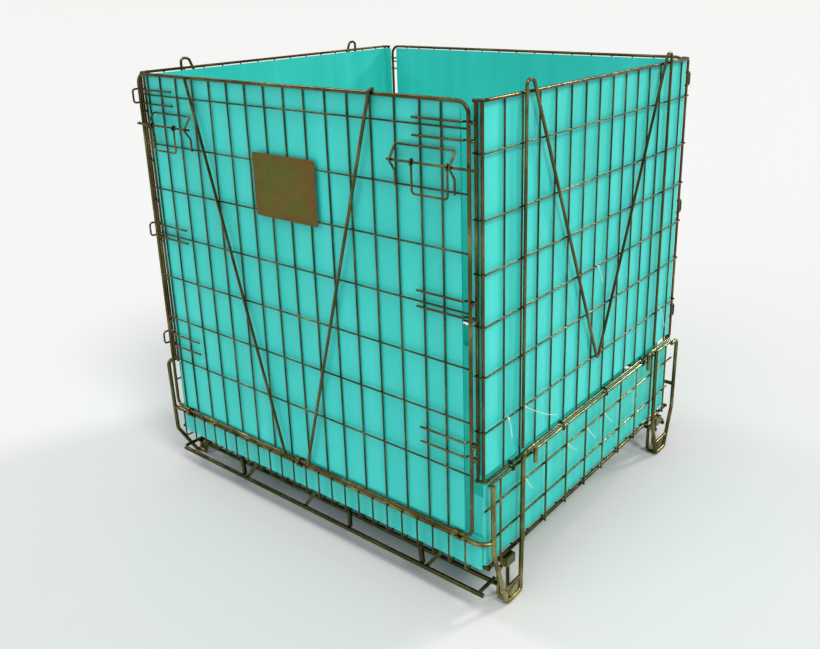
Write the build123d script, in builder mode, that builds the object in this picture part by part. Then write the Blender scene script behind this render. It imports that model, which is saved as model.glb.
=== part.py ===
"""Collapsible wire-mesh container with lined walls, standing on four stacking feet.

Frame: +Z up, +X along the wide front, the gate faces -Y. The origin is on the ground, in the
middle of the footprint, latches included. Units are millimetres.

"off" is a distance outward from a wall's reference plane: the planes x = +-HALF_W at the sides,
and HALF_D in front of and behind the middle of the frame.
"""
from build123d import *
import os

os.makedirs("parts", exist_ok=True)

# ---------------------------------------------------------------- driving dimensions
HALF_W = 592.5          # middle to side wall plane
HALF_D = 523.5          # middle to front and back wall planes
FRAME_Y = 5.2           # middle of the frame in Y, as the latches stand further out than the back
TOP_Z = 1242.0          # top rails
GATE_Z = 217.0          # bottom rail of the gate and of the back panel, and their hinge axis
PANEL_Z = 366.0         # bottom rail of the side panels, and their hinge axis
SKIRT_Z = 355.5         # top rail of the fixed side skirts
FLOOR_Z = 125.0         # rods of the floor frame
RUNNER_Z = 52.0         # skid rods under the floor

MESH = 4.5              # wall mesh wire
FRAME_ROD = 9.0         # gate and back frames
PANEL_ROD = 8.0         # side panel rails, posts and all braces
SKIRT_WIRE = 5.5        # skirt wire, hooks and latch guides
FLOOR_WIRE = 5.0
FLOOR_ROD = 10.0
FOOT_ROD = 12.0         # feet and runners
SHEET = 4.0             # fluted liner sheet

SINK = 0.1              # depth that crossing wires are welded into each other
BUTT = 0.05             # depth that a wire's end is welded into a rod

# ---------------------------------------------------------------- gate and back panel
GATE_OFF = 17.0                                   # frame rod centre
GATE_HALF = 567.5                                 # middle to gate post
GATE_BEND = 28.0
UPRIGHT_OFF = GATE_OFF - 2.5                      # upright wires
CROSS_OFF = UPRIGHT_OFF + MESH - SINK             # cross wires, in front of the uprights
CROSS_FACE = CROSS_OFF + MESH / 2                 # front of the mesh
GATE_UPRIGHTS = [-529, -471] + [-402 + 70 * n for n in range(13)] + [495]
GATE_CROSSES = [387, 522, 655, 787, 922, 1051, 1187]
HOOK_HEIGHTS = [(430, 467), (774, 812), (1162, 1200)]
HOOK_OFF = UPRIGHT_OFF + MESH / 2 + SKIRT_WIRE / 2 - SINK
HOOK_BACK_OFF = 8.6                               # where a hook passes behind the gate post
HOOK_REACH_OFF = 31.0                             # closed end, in the gap at the corner
HOOK_ARM = 172.0                                  # from the side wall plane to the arm's free end
GATE_SHEET_OFF = 7.7                              # back face of the gate's liner
GATE_SHEET_EDGE = HALF_W - 50.5                   # its upright edges, short of the corner posts
SHEET_BOTTOM = GATE_Z + 9.0
SHEET_TOP = TOP_Z - 6.0

# ---------------------------------------------------------------- side panels
RAIL_OFF = -2.0
POST_OFF = -6.15
FLANGE_POST_X = HALF_W - 22.0
SIDE_UPRIGHTS = [-440 + 70 * n for n in range(14)]
SIDE_CROSSES = [496, 634, 754, 874, 994, 1135]
SIDE_SHEET_OFF = -12.0                            # inner face of the side liners
BRACE_OFF = MESH / 2 + PANEL_ROD / 2 - SINK
BRACE_LEG_Y = 372.0
BRACE_PEAK_Z = 1271.0
RING_YS = [-413.5, -174.5, 64.5, 303.5]
RING_WIRE = 4.0
RING_PLAY = 0.35

# ---------------------------------------------------------------- base
SKIRT_OFF = 3.0
SKIRT_RAIL_REACH = HALF_D - 12.0                  # short of the panel rails' returns as they fold
SKIRT_CROSS_OFF = 1.0
SKIRT_UPRIGHT_OFF = SKIRT_CROSS_OFF + SKIRT_WIRE - SINK
SKIRT_CROSSES = [(199, HALF_D - 22.0), (292, HALF_D + 3.0)]      # height, and reach from the middle
SKIRT_UPRIGHTS = [-468 + 104 * n for n in range(10)]
SIDE_ROD_OFF = -1.4
END_ROD_OFF = -12.5
SILL_OFF = 8.0
SILL_Z = GATE_Z - 18.0
SILL_ROD = 12.0
SILL_PITCH = 49.6
CLIP_XS = [-517.0, -25.0, 521.0]
CLIP_WIDTH = 16.0
CLIP_SHEET = 2.5
RUNNER_GAP = 57.0                                 # between the two rods of a runner
RUNNERS = {"front": (-HALF_D + RUNNER_GAP / 2, 586.0), "middle": (0.0, 455.0),
           "rear": (HALF_D - RUNNER_GAP / 2, 586.0)}                # middle, and half its length

# ---------------------------------------------------------------- latches
LATCH_Z = 1107.0
BOLT_OFF = 35.0
BOLT_ROD = 6.0
HANDLE_ROD = 5.0
GUIDE_TOP_Z = 1140.0
GUIDE_FOOT_Z = 1047.0
GUIDE_INSET = (57.0, 220.0)                       # from the side wall plane to its two loops
HANDLE_INSET = (67.0, 164.0)
BOLT_INSET = (-4.0, 232.0)
LATCHES = {"right": (1, 0.0), "left": (-1, 25.0)} # side, and how much further in it is welded
HANDLE_DROP = 69.0


# ---------------------------------------------------------------- helpers
def at_end(end, x, off, z):
    """Point on the front (end -1) or the back (end 1), off outward from its plane."""
    return (x, FRAME_Y + end * (HALF_D + off), z)


def at_side(side, off, y, z):
    """Point on the left (side -1) or the right (side 1); y is from the middle of the frame."""
    return (side * (HALF_W + off), FRAME_Y + y, z)


def rod(start, end, diameter):
    """Add a straight round rod to the open part."""
    span = Vector(*end) - Vector(*start)
    with Locations(Plane(origin=start, z_dir=span.normalized())):
        Cylinder(diameter / 2, span.length, align=(Align.CENTER, Align.CENTER, Align.MIN))


def block(low, high):
    """Add a box between two corners to the open part."""
    size = [abs(b - a) for a, b in zip(low, high)]
    middle = [(a + b) / 2 for a, b in zip(low, high)]
    with Locations(tuple(middle)):
        Box(*size)


def sweep_edges(edges, diameter):
    """Sweep a round section along each edge, into the open part."""
    for edge in edges:
        with BuildSketch(Plane(origin=edge @ 0, z_dir=edge % 0)) as section:
            Circle(diameter / 2)
        sweep(sections=section.sketch, path=edge)


def bent_rods(routes, diameter):
    """Rods bent along (points, radii, closed) routes, each run and bend a solid of its own."""
    edges = []
    for points, radii, closed in routes:
        with BuildLine() as route:
            FilletPolyline(*points, radius=radii, close=closed)
        edges += route.edges()
    with BuildPart() as runs:
        sweep_edges([e for e in edges if e.geom_type == GeomType.LINE], diameter)
    with BuildPart() as bends:
        sweep_edges([e for e in edges if e.geom_type != GeomType.LINE], diameter)
    return group(runs, bends)


def group(*parts):
    """Parts that stay separate solids in one piece."""
    return Compound(children=[solid for part in parts for solid in part.solids()])


def save(part, label):
    """Label a finished piece and write its STEP file."""
    part.label = label
    export_step(part, f"parts/{label}.step")


# ---------------------------------------------------------------- base: floor
side_rod_x = HALF_W + SIDE_ROD_OFF
side_rod_reach = HALF_D + END_ROD_OFF - FLOOR_ROD / 2 + BUTT
with BuildPart() as side_rods:
    for sign in (-1, 1):
        rod(at_side(sign, SIDE_ROD_OFF, -side_rod_reach, FLOOR_Z),
            at_side(sign, SIDE_ROD_OFF, side_rod_reach, FLOOR_Z), FLOOR_ROD)
with BuildPart() as end_rods:
    for sign in (-1, 1):
        rod(at_end(sign, -side_rod_x - FLOOR_ROD / 2, END_ROD_OFF, FLOOR_Z),
            at_end(sign, side_rod_x + FLOOR_ROD / 2, END_ROD_OFF, FLOOR_Z), FLOOR_ROD)
save(group(side_rods, end_rods), "floor_frame")

LONG_WIRE_Z = FLOOR_Z - 3.0
CROSS_WIRE_Z = LONG_WIRE_Z + FLOOR_WIRE - SINK
long_reach = side_rod_x - FLOOR_ROD / 2 + BUTT
cross_reach = HALF_D + END_ROD_OFF - FLOOR_ROD / 2 + BUTT
with BuildPart() as floor_wires_long:
    for n in range(7):
        for sign in (-1, 1):
            y = FRAME_Y + sign * (28.5 + 73 * n)
            rod((-long_reach, y, LONG_WIRE_Z), (long_reach, y, LONG_WIRE_Z), FLOOR_WIRE)
save(floor_wires_long.part, "floor_wires_long")

with BuildPart() as floor_wires_cross:
    for n in range(-7, 8):
        rod((78 * n, FRAME_Y - cross_reach, CROSS_WIRE_Z),
            (78 * n, FRAME_Y + cross_reach, CROSS_WIRE_Z), FLOOR_WIRE)
save(floor_wires_cross.part, "floor_wires_cross")

# ---------------------------------------------------------------- base: runners
END_BAR = 10.0
END_BAR_Z = RUNNER_Z + (FOOT_ROD + END_BAR) / 2 - BUTT
for place, (middle_y, half) in RUNNERS.items():
    with BuildPart() as runner_rods:
        for sign in (-1, 1):
            y = FRAME_Y + middle_y + sign * RUNNER_GAP / 2
            rod((-half, y, RUNNER_Z), (half, y, RUNNER_Z), FOOT_ROD)
    with BuildPart() as end_bars:
        for x in (7 - half, half - 7):
            rod((x, FRAME_Y + middle_y - RUNNER_GAP / 2 - 2, END_BAR_Z),
                (x, FRAME_Y + middle_y + RUNNER_GAP / 2 + 2, END_BAR_Z), END_BAR)
    save(group(runner_rods, end_bars), f"{place}_runner")

GUSSET_XS = (-290.0, 403.0)
GUSSET_THICK = 8.0
V_WIDTH = 12.0
V_BARS = [(-10, -17), (8, 56)]          # foot and head of each bar, from the gusset's place
STRUT_WIDTH = 10.0
STRUTS = [(-32, 14), (139, 139)]


def flat_bars(x, y, low, top, width, spread):
    """Flat bars from a runner up to the floor, each from its foot to its head in X."""
    with BuildSketch(Plane(origin=(x, y + GUSSET_THICK / 2, 0), x_dir=(1, 0, 0),
                           z_dir=(0, -1, 0))) as outline:
        for foot, head in spread:
            with BuildLine():
                Polyline((foot - width / 2, low), (foot + width / 2, low),
                         (head + width / 2, top), (head - width / 2, top), close=True)
            make_face()
    extrude(outline.sketch, amount=GUSSET_THICK)


# Foot and head heights. The outer rows stand beside their rods, so they reach a little further.
inner_gusset = (RUNNER_Z + FOOT_ROD / 2 - BUTT, LONG_WIRE_Z - FLOOR_WIRE / 2 + BUTT)
outer_gusset = (RUNNER_Z + FOOT_ROD / 2 - 0.4, FLOOR_Z - FLOOR_ROD / 2 + 0.7)
GUSSET_ROWS = [(-HALF_D + 6, outer_gusset), (-HALF_D + RUNNER_GAP, inner_gusset),
               (-RUNNER_GAP / 2, inner_gusset), (RUNNER_GAP / 2, inner_gusset),
               (HALF_D - RUNNER_GAP, inner_gusset), (HALF_D - 6, outer_gusset)]
with BuildPart() as runner_gussets:
    for y, (low, top) in GUSSET_ROWS:
        for x in GUSSET_XS:
            flat_bars(x, FRAME_Y + y, low, top, V_WIDTH, V_BARS)
        flat_bars(0, FRAME_Y + y, low, top, STRUT_WIDTH, STRUTS)
save(runner_gussets.part, "runner_gussets")

# ---------------------------------------------------------------- base: feet
FOOT_OFF = SKIRT_OFF + PANEL_ROD / 2 + FOOT_ROD / 2 - BUTT
FOOT_FLARE_OFF = FOOT_OFF + 9.0
FOOT_LOW = FOOT_ROD / 2


def along(end, distance):
    """Y from the middle of the frame, a distance in from the front or back plane."""
    return end * (HALF_D - distance)


# Stub over the skirt rail, inner leg and bottom bar; then the corner leg, which stands further
# out and turns in along the skirt rail at the wide corners. Each has its bend radii.
FOOT_START = [(FOOT_OFF, 200, 330), (FOOT_OFF, 200, 382), (FOOT_OFF, 144, 382), (FOOT_OFF, 140, 118),
              (FOOT_FLARE_OFF, 122, FOOT_LOW), (FOOT_FLARE_OFF, 62, FOOT_LOW)]
START_RADII = [14, 16, 40, 12, 12]
NEAR_LEG = ([(FOOT_OFF, 17, 166), (FOOT_OFF, 14, SKIRT_Z + 2)], [40])
WIDE_LEG = ([(FOOT_OFF, -6, 120), (FOOT_OFF, -11, SKIRT_Z), (FOOT_OFF, 30, SKIRT_Z)], [30, 12])
NEAR_BAR_START = 59.5
WIDE_BAR_START = 50.3


def foot_route(side, end):
    """Route of a foot. One side frame, turned round, serves both sides: each has one wide corner."""
    leg, radii = WIDE_LEG if side == end else NEAR_LEG
    points = [at_side(side, off, along(end, inset), z) for off, inset, z in FOOT_START + leg]
    return points, START_RADII + radii, False


FEET = {"front_left": (-1, -1), "front_right": (1, -1), "rear_left": (-1, 1), "rear_right": (1, 1)}
for place, (side, end) in FEET.items():
    save(bent_rods([foot_route(side, end)], FOOT_ROD), f"foot_{place}")

INNER_ROD = 10.0
ARCH_OFF = -11.0
ARCH_TOP_Z = 84.0
arch_end_off = FOOT_FLARE_OFF - FOOT_ROD / 2 + BUTT
arches = []
for side, end in FEET.values():
    stations = [(arch_end_off, 72, INNER_ROD / 2), (ARCH_OFF, 72, INNER_ROD / 2), (ARCH_OFF, 72, ARCH_TOP_Z),
                (ARCH_OFF, 114, ARCH_TOP_Z), (ARCH_OFF, 114, INNER_ROD / 2),
                (arch_end_off, 114, INNER_ROD / 2)]
    arches.append(([at_side(side, off, along(end, inset), z) for off, inset, z in stations],
                   [9, 18, 18, 9], False))
save(bent_rods(arches, INNER_ROD), "foot_inner_loops")

CROSSBAR_Z = 42.0
with BuildPart() as foot_crossbars:
    for side, end in FEET.values():
        start = WIDE_BAR_START if side == end else NEAR_BAR_START
        rod(at_side(side, FOOT_OFF + 6, along(end, start), CROSSBAR_Z),
            at_side(side, FOOT_OFF + 6, along(end, 120.5), CROSSBAR_Z), INNER_ROD)
save(foot_crossbars.part, "foot_crossbars")

with BuildPart() as foot_plates:
    for side, end in FEET.values():
        block(at_side(side, FOOT_OFF + 4.5, along(end, 74), FOOT_ROD - BUTT),
              at_side(side, FOOT_OFF + 9.5, along(end, 110), CROSSBAR_Z - INNER_ROD / 2 + BUTT))
save(foot_plates.part, "foot_plates")

with BuildPart() as foot_blocks:
    for side, end in FEET.values():
        block(at_side(side, -6, along(end, 74), 96),
              at_side(side, 14, along(end, 110), FLOOR_Z - FLOOR_ROD / 2 + BUTT))
save(foot_blocks.part, "foot_blocks")

# ---------------------------------------------------------------- base: skirts
with BuildPart() as skirt_rails:
    for side in (-1, 1):
        rod(at_side(side, SKIRT_OFF, -SKIRT_RAIL_REACH, SKIRT_Z),
            at_side(side, SKIRT_OFF, SKIRT_RAIL_REACH, SKIRT_Z), PANEL_ROD)
save(skirt_rails.part, "skirt_rails")

with BuildPart() as skirt_cross_wires:
    for side in (-1, 1):
        for z, reach in SKIRT_CROSSES:
            rod(at_side(side, SKIRT_CROSS_OFF, -reach, z),
                at_side(side, SKIRT_CROSS_OFF, reach, z), SKIRT_WIRE)
save(skirt_cross_wires.part, "skirt_cross_wires")

with BuildPart() as skirt_uprights:
    for side in (-1, 1):
        for y in SKIRT_UPRIGHTS:
            rod(at_side(side, SKIRT_UPRIGHT_OFF, y, FLOOR_Z - 4),
                at_side(side, SKIRT_UPRIGHT_OFF, y, SKIRT_Z - PANEL_ROD / 2 + 0.6), SKIRT_WIRE)
save(skirt_uprights.part, "skirt_uprights")

# ---------------------------------------------------------------- base: sills and hinge clips
WIDE_SILL_REACH = HALF_W + FOOT_OFF - FOOT_ROD / 2 + BUTT
SILL_REACH = HALF_W + FOOT_OFF - 4.2      # bent end, at the face of the corner leg
SILL_END_OFF = -12.3
SILL_BEND_X = SILL_REACH - SILL_OFF + SILL_END_OFF
sill_routes = []
for end in (-1, 1):
    stations = [(end * WIDE_SILL_REACH, SILL_OFF), (-end * SILL_BEND_X, SILL_OFF),
                (-end * SILL_REACH, SILL_END_OFF)]
    sill_routes.append(([at_end(end, x, off, SILL_Z) for x, off in stations], 30, False))
save(bent_rods(sill_routes, SILL_ROD), "sill_bars")

SILL_WIRE_OFF = SILL_OFF + SILL_ROD / 2 + MESH / 2 - SINK
sill_leg_z = FLOOR_Z - FLOOR_ROD / 2 - MESH / 2 + SINK
sill_wire_routes = []
for end in (-1, 1):
    for n in range(-11, 12):
        points = [at_end(end, SILL_PITCH * n, off, z) for off, z in
                  ((SILL_WIRE_OFF, SILL_Z + 5), (SILL_WIRE_OFF, sill_leg_z), (END_ROD_OFF, sill_leg_z))]
        sill_wire_routes.append((points, 6, False))
save(bent_rods(sill_wire_routes, MESH), "sill_wires")

RAIL_PLAY = 0.4
CLIP_RAIL_R = FRAME_ROD / 2 + RAIL_PLAY
CLIP_SILL_R = SILL_ROD / 2
CLIP_MIDDLE = ((GATE_OFF + SILL_OFF) / 2, (GATE_Z + SILL_Z) / 2)
CLIP_BOLT = 5.0
CLIP_REACH = 8.1


def clip_loop(end, x, grow):
    """Hull round the gate rail and the sill bar, as a sketch across X."""
    across = Plane(origin=(-end * x - CLIP_WIDTH / 2, 0, 0), x_dir=(0, 1, 0), z_dir=(1, 0, 0))
    with BuildSketch(across) as loop:
        with Locations((FRAME_Y + end * (HALF_D + GATE_OFF), GATE_Z)):
            Circle(CLIP_RAIL_R + grow)
        with Locations((FRAME_Y + end * (HALF_D + SILL_OFF), SILL_Z)):
            Circle(CLIP_SILL_R + grow)
        make_hull()
    return loop.sketch


def clip_axis(end):
    """Direction of the clip's bolt: square to the line between the two rods, outward."""
    return Vector(0, end * (GATE_Z - SILL_Z), -(GATE_OFF - SILL_OFF)).normalized()


def clip_point(end, x, distance):
    """Point on the clip bolt's axis, a distance outward from between the rods."""
    return Vector(*at_end(end, -end * x, *CLIP_MIDDLE)) + clip_axis(end) * distance


with BuildPart() as hinge_clips:
    for end in (-1, 1):
        for x in CLIP_XS:
            extrude(clip_loop(end, x, CLIP_SHEET), amount=CLIP_WIDTH)
            extrude(clip_loop(end, x, 0.0), amount=CLIP_WIDTH, mode=Mode.SUBTRACT)
            with Locations(Plane(origin=clip_point(end, x, 0), z_dir=clip_axis(end))):
                Cylinder(CLIP_BOLT / 2 + 0.3, 40, mode=Mode.SUBTRACT)
save(hinge_clips.part, "hinge_clips")

with BuildPart() as clip_bolts:
    for end in (-1, 1):
        for x in CLIP_XS:
            rod(clip_point(end, x, -CLIP_REACH - 5), clip_point(end, x, CLIP_REACH + 1), CLIP_BOLT)
            for distance in (-CLIP_REACH - 4.3, CLIP_REACH + 0.3):
                head = Plane(origin=clip_point(end, x, distance), z_dir=clip_axis(end))
                with BuildSketch(head) as hexagon:
                    RegularPolygon(5.0, 6)
                extrude(hexagon.sketch, amount=4.0)
save(clip_bolts.part, "clip_bolts")

# ---------------------------------------------------------------- base: side hinge rings
panel_axis = Vector(HALF_W + RAIL_OFF, 0, PANEL_Z)
skirt_axis = Vector(HALF_W + SKIRT_OFF, 0, SKIRT_Z)
RING_R = PANEL_ROD / 2 + RING_PLAY + RING_WIRE / 2
for name, side in (("right", 1), ("left", -1)):
    across = (skirt_axis - panel_axis).normalized()
    beside = Vector(-across.Z, 0, across.X)
    ends = (panel_axis - across * RING_R, skirt_axis + across * RING_R)
    routes = []
    for y in RING_YS:
        corners = [ends[0] + beside * RING_R, ends[1] + beside * RING_R,
                   ends[1] - beside * RING_R, ends[0] - beside * RING_R]
        points = [(side * c.X, FRAME_Y + y, c.Z) for c in corners]
        routes.append((points, RING_R - 0.8, True))
    save(bent_rods(routes, RING_WIRE), f"hinge_rings_{name}")

# ---------------------------------------------------------------- liners on the base
FLOOR_SHEET_Z = CROSS_WIRE_Z + FLOOR_WIRE / 2 + 0.2
SIDE_SHEET_REACH = HALF_D + SIDE_SHEET_OFF + SHEET      # outer faces of the folded returns
LOWER_SHEET_REACH = SIDE_SHEET_REACH - 2.0
sheet_half_w = HALF_W + SIDE_SHEET_OFF - 0.5
sheet_half_d = LOWER_SHEET_REACH - SHEET - 1.5
with BuildPart() as floor_liner:
    block((-sheet_half_w, FRAME_Y - sheet_half_d, FLOOR_SHEET_Z),
          (sheet_half_w, FRAME_Y + sheet_half_d, FLOOR_SHEET_Z + SHEET))
save(floor_liner.part, "floor_liner")

SILL_SHEET_OFF = -7.0
RETURN_LENGTH = 28.0


def side_sheet(side, reach, low, high, return_high):
    """A wall sheet folded round both corners, its returns behind the flange posts."""
    with BuildPart() as wall:
        block(at_side(side, SIDE_SHEET_OFF, -reach, low), at_side(side, SIDE_SHEET_OFF + SHEET, reach, high))
    with BuildPart() as returns:
        for end in (-1, 1):
            block(at_side(side, SIDE_SHEET_OFF, end * reach, low),
                  at_side(side, SIDE_SHEET_OFF - RETURN_LENGTH, end * (reach - SHEET), return_high))
    return group(wall, returns)


for name, side in (("right", 1), ("left", -1)):
    sheet = side_sheet(side, LOWER_SHEET_REACH, FLOOR_Z + FLOOR_ROD / 2 + 0.5, SKIRT_Z - 3.5,
                       PANEL_Z - 46.0)
    save(sheet, f"lower_liner_{name}")

for name, end in (("front", -1), ("rear", 1)):
    with BuildPart() as lower_liner:
        block(at_end(end, -sheet_half_w, SILL_SHEET_OFF, FLOOR_Z - 4),
              at_end(end, sheet_half_w, SILL_SHEET_OFF + SHEET, GATE_Z - 5))
    save(lower_liner.part, f"lower_liner_{name}")

# ---------------------------------------------------------------- gate and back panel
RAIL_BUTT = 4.4         # rod centre to the end of an upright that stands 2.5 off its centre


def hook_route(side, end, low, high):
    """Two arms over the mesh, behind the post, joined by a closed end that points outward."""
    arm = [(HALF_W - HOOK_ARM, HOOK_OFF), (HALF_W - 47, HOOK_OFF), (HALF_W - 38, HOOK_BACK_OFF),
           (HALF_W - 13, HOOK_BACK_OFF), (HALF_W - 13, HOOK_REACH_OFF)]
    there = [at_end(end, side * x, off, high) for x, off in arm]
    back = [at_end(end, side * x, off, low) for x, off in reversed(arm)]
    return there + back


HOOK_RADII = [5, 5, 7, 8, 8, 7, 5, 5]


for name, end in (("gate", -1), ("back", 1)):
    corners = [(GATE_HALF, GATE_Z), (GATE_HALF, TOP_Z), (-GATE_HALF, TOP_Z), (-GATE_HALF, GATE_Z)]
    loop = [at_end(end, x, GATE_OFF, z) for x, z in corners]
    save(bent_rods([(loop, GATE_BEND, True)], FRAME_ROD), f"{name}_frame")

    with BuildPart() as uprights:
        for x in GATE_UPRIGHTS:
            rod(at_end(end, -end * x, UPRIGHT_OFF, GATE_Z + RAIL_BUTT),
                at_end(end, -end * x, UPRIGHT_OFF, TOP_Z - RAIL_BUTT), MESH)
    save(uprights.part, f"{name}_uprights")

    cross_reach_x = GATE_HALF - RAIL_BUTT
    with BuildPart() as crosses:
        for z in GATE_CROSSES:
            rod(at_end(end, -cross_reach_x, CROSS_OFF, z), at_end(end, cross_reach_x, CROSS_OFF, z), MESH)
    save(crosses.part, f"{name}_cross_wires")

    hooks = [(hook_route(side, end, low, high), HOOK_RADII, False)
             for low, high in HOOK_HEIGHTS for side in (-1, 1)]
    save(bent_rods(hooks, SKIRT_WIRE), f"{name}_hooks")
    with BuildPart() as sheet:
        block(at_end(end, -GATE_SHEET_EDGE, GATE_SHEET_OFF, SHEET_BOTTOM),
              at_end(end, GATE_SHEET_EDGE, GATE_SHEET_OFF + SHEET, SHEET_TOP))
    save(sheet.part, f"{name}_liner")

# ---------------------------------------------------------------- gate: brace, plate
GATE_BRACE_OFF = GATE_OFF + FRAME_ROD / 2 + PANEL_ROD / 2 - 0.2
BRACE_OVER_Z = TOP_Z + FRAME_ROD / 2 + PANEL_ROD / 2 + 0.4
left_arm = [at_end(-1, -67, GATE_BRACE_OFF, GATE_Z + 1), at_end(-1, -346, GATE_BRACE_OFF, TOP_Z + 3)]
right_arm = [at_end(-1, 20, GATE_BRACE_OFF, GATE_Z + 1),
             at_end(-1, 308, GATE_BRACE_OFF, BRACE_OVER_Z),
             at_end(-1, 309, GATE_OFF - 3, BRACE_OVER_Z)]
with BuildPart() as straight_arm:
    rod(*left_arm, PANEL_ROD)
save(group(straight_arm, bent_rods([(right_arm, 7, False)], PANEL_ROD)), "gate_brace")

with BuildPart() as label_plate:
    block(at_end(-1, -103, CROSS_FACE + 0.05, 909), at_end(-1, 119, CROSS_FACE + 1.55, 1073))
save(label_plate.part, "label_plate")

# ---------------------------------------------------------------- gate: latches
GUIDE_TOP_OFF = UPRIGHT_OFF + MESH / 2 + SKIRT_WIRE / 2 - SINK
GUIDE_FOOT_OFF = CROSS_FACE + SKIRT_WIRE / 2 - SINK
GUIDE_TIP_OFF = BOLT_OFF + 7.4


def guide_route(side, shift):
    """Foot, out round the bolt, up to the top bar, and the same down the other side."""
    leg = [(GUIDE_FOOT_OFF, GUIDE_FOOT_Z), (GUIDE_FOOT_OFF, LATCH_Z - 27), (GUIDE_TIP_OFF, LATCH_Z),
           (GUIDE_TOP_OFF, GUIDE_TOP_Z)]
    outer, inner = (side * (HALF_W - inset - shift) for inset in GUIDE_INSET)
    return ([at_end(-1, outer, off, z) for off, z in leg]
            + [at_end(-1, inner, off, z) for off, z in reversed(leg)])


guides = [(guide_route(side, shift), [8, 5, 8, 8, 5, 8], False) for side, shift in LATCHES.values()]
save(bent_rods(guides, SKIRT_WIRE), "latch_guides")

EYE_R = BOLT_ROD / 2 + 0.3 + HANDLE_ROD / 2
for name, (side, shift) in LATCHES.items():
    tip, tail = (side * (HALF_W - inset - shift) for inset in BOLT_INSET)
    bolt = [at_end(-1, tail, BOLT_OFF, LATCH_Z), at_end(-1, tip - side * 3, BOLT_OFF, LATCH_Z),
            at_end(-1, tip, BOLT_OFF - 11, LATCH_Z)]
    save(bent_rods([(bolt, 5, False)], BOLT_ROD), f"latch_bolt_{name}")

    outer, inner = (side * (HALF_W - inset - shift) for inset in HANDLE_INSET)
    bow = [at_end(-1, x, BOLT_OFF, z) for x, z in
           ((outer, LATCH_Z - EYE_R), (outer, LATCH_Z - HANDLE_DROP),
            (inner, LATCH_Z - HANDLE_DROP), (inner, LATCH_Z - EYE_R))]
    with BuildLine() as bow_route:
        FilletPolyline(*bow, radius=8)
    with BuildPart() as handle:
        with BuildSketch(Plane(origin=bow[0], z_dir=(0, 0, -1))) as bow_section:
            Circle(HANDLE_ROD / 2)
        sweep(sections=bow_section.sketch, path=bow_route.wires()[0])
        for x in (outer, inner):
            with Locations(Plane(origin=at_end(-1, x, BOLT_OFF, LATCH_Z), z_dir=(1, 0, 0))):
                Torus(EYE_R, HANDLE_ROD / 2)
    save(handle.part, f"latch_handle_{name}")

# ---------------------------------------------------------------- side panels
RAIL_BEND = 20.0
CROSS_BEND = 5.4        # tight enough to clear the corner post inside it
RETURN_END = FLANGE_POST_X - PANEL_ROD / 2


def rail_route(side, z):
    """A rail along the panel, bent round both corners to the flange posts."""
    corners = [(RETURN_END, -HALF_D), (HALF_W + RAIL_OFF, -HALF_D), (HALF_W + RAIL_OFF, HALF_D),
               (RETURN_END, HALF_D)]
    return [(side * x, FRAME_Y + y, z) for x, y in corners]


def cross_route(side, z):
    """A cross wire, bent round both corners over the flange posts."""
    reach = HALF_D + MESH / 2 - SINK
    corners = [(RETURN_END, -reach), (HALF_W, -reach), (HALF_W, reach), (RETURN_END, reach)]
    return [(side * x, FRAME_Y + y, z) for x, y in corners]


def brace_route(side):
    """M-shaped rod: up, over the top rail, down to the middle, and the same again."""
    half = [(BRACE_LEG_Y, 391), (BRACE_LEG_Y, BRACE_PEAK_Z), (BRACE_LEG_Y - 28, BRACE_PEAK_Z - 4)]
    points = [(-y, z) for y, z in half] + [(0, 484)] + [(y, z) for y, z in reversed(half)]
    return [at_side(side, BRACE_OFF, y, z) for y, z in points]


for name, side in (("right", 1), ("left", -1)):
    rails = [(rail_route(side, z), RAIL_BEND, False) for z in (TOP_Z, PANEL_Z)]
    save(bent_rods(rails, PANEL_ROD), f"side_rails_{name}")

    with BuildPart() as posts:
        for end in (-1, 1):
            y = FRAME_Y + end * (HALF_D - PANEL_ROD / 2)
            for x, play in ((HALF_W + POST_OFF, 0.3), (FLANGE_POST_X, 0.0)):
                reach = PANEL_ROD / 2 - BUTT + play
                rod((side * x, y, PANEL_Z + reach), (side * x, y, TOP_Z - reach), PANEL_ROD)
    save(posts.part, f"side_posts_{name}")

    with BuildPart() as uprights:
        for y in SIDE_UPRIGHTS:
            rod(at_side(side, -MESH + SINK, y, PANEL_Z + PANEL_ROD / 2 - BUTT),
                at_side(side, -MESH + SINK, y, TOP_Z - PANEL_ROD / 2 + BUTT), MESH)
    save(uprights.part, f"side_uprights_{name}")

    crosses = [(cross_route(side, z), CROSS_BEND, False) for z in SIDE_CROSSES]
    save(bent_rods(crosses, MESH), f"side_cross_wires_{name}")

    brace = [(brace_route(side), [12, 11, 6, 11, 12], False)]
    save(bent_rods(brace, PANEL_ROD), f"side_brace_{name}")
    sheet = side_sheet(side, SIDE_SHEET_REACH, PANEL_Z + 12, SHEET_TOP, SHEET_TOP)
    save(sheet, f"side_liner_{name}")

# ---------------------------------------------------------------- cable ties
TIE = 1.8
TIE_PLAY = 0.15
SIDE_TIES = [(-13, 754, -9, 712), (-361, 496, -226, 420), (-433, 496, -437, 452), (408, 496, 416, 440)]
SKIRT_TIES = [(-147, 292, -120, 268), (-355, 292, -338, 262), (-43, 292, -14, 256), (61, 292, 85, 260)]


def tie(off, wire, y, z, tail_y, tail_z):
    """Strap round a cross wire on the right side, its head outside, and its cut-off tail."""
    strap_r = wire / 2 + TIE_PLAY + TIE / 2
    with Locations(Plane(origin=at_side(1, off, y, z), z_dir=(0, 1, 0))):
        Torus(strap_r, TIE / 2)
    face = off + wire / 2 + TIE_PLAY
    block(at_side(1, face, y - 2.6, z - 3.0), at_side(1, face + 4.5, y + 2.6, z + 3.0))
    rod(at_side(1, face + 3.0, y, z), at_side(1, face + 12.0, tail_y, tail_z), TIE)


with BuildPart() as cable_ties_side_right:
    for spot in SIDE_TIES:
        tie(0.0, MESH, *spot)
save(cable_ties_side_right.part, "cable_ties_side_right")

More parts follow.
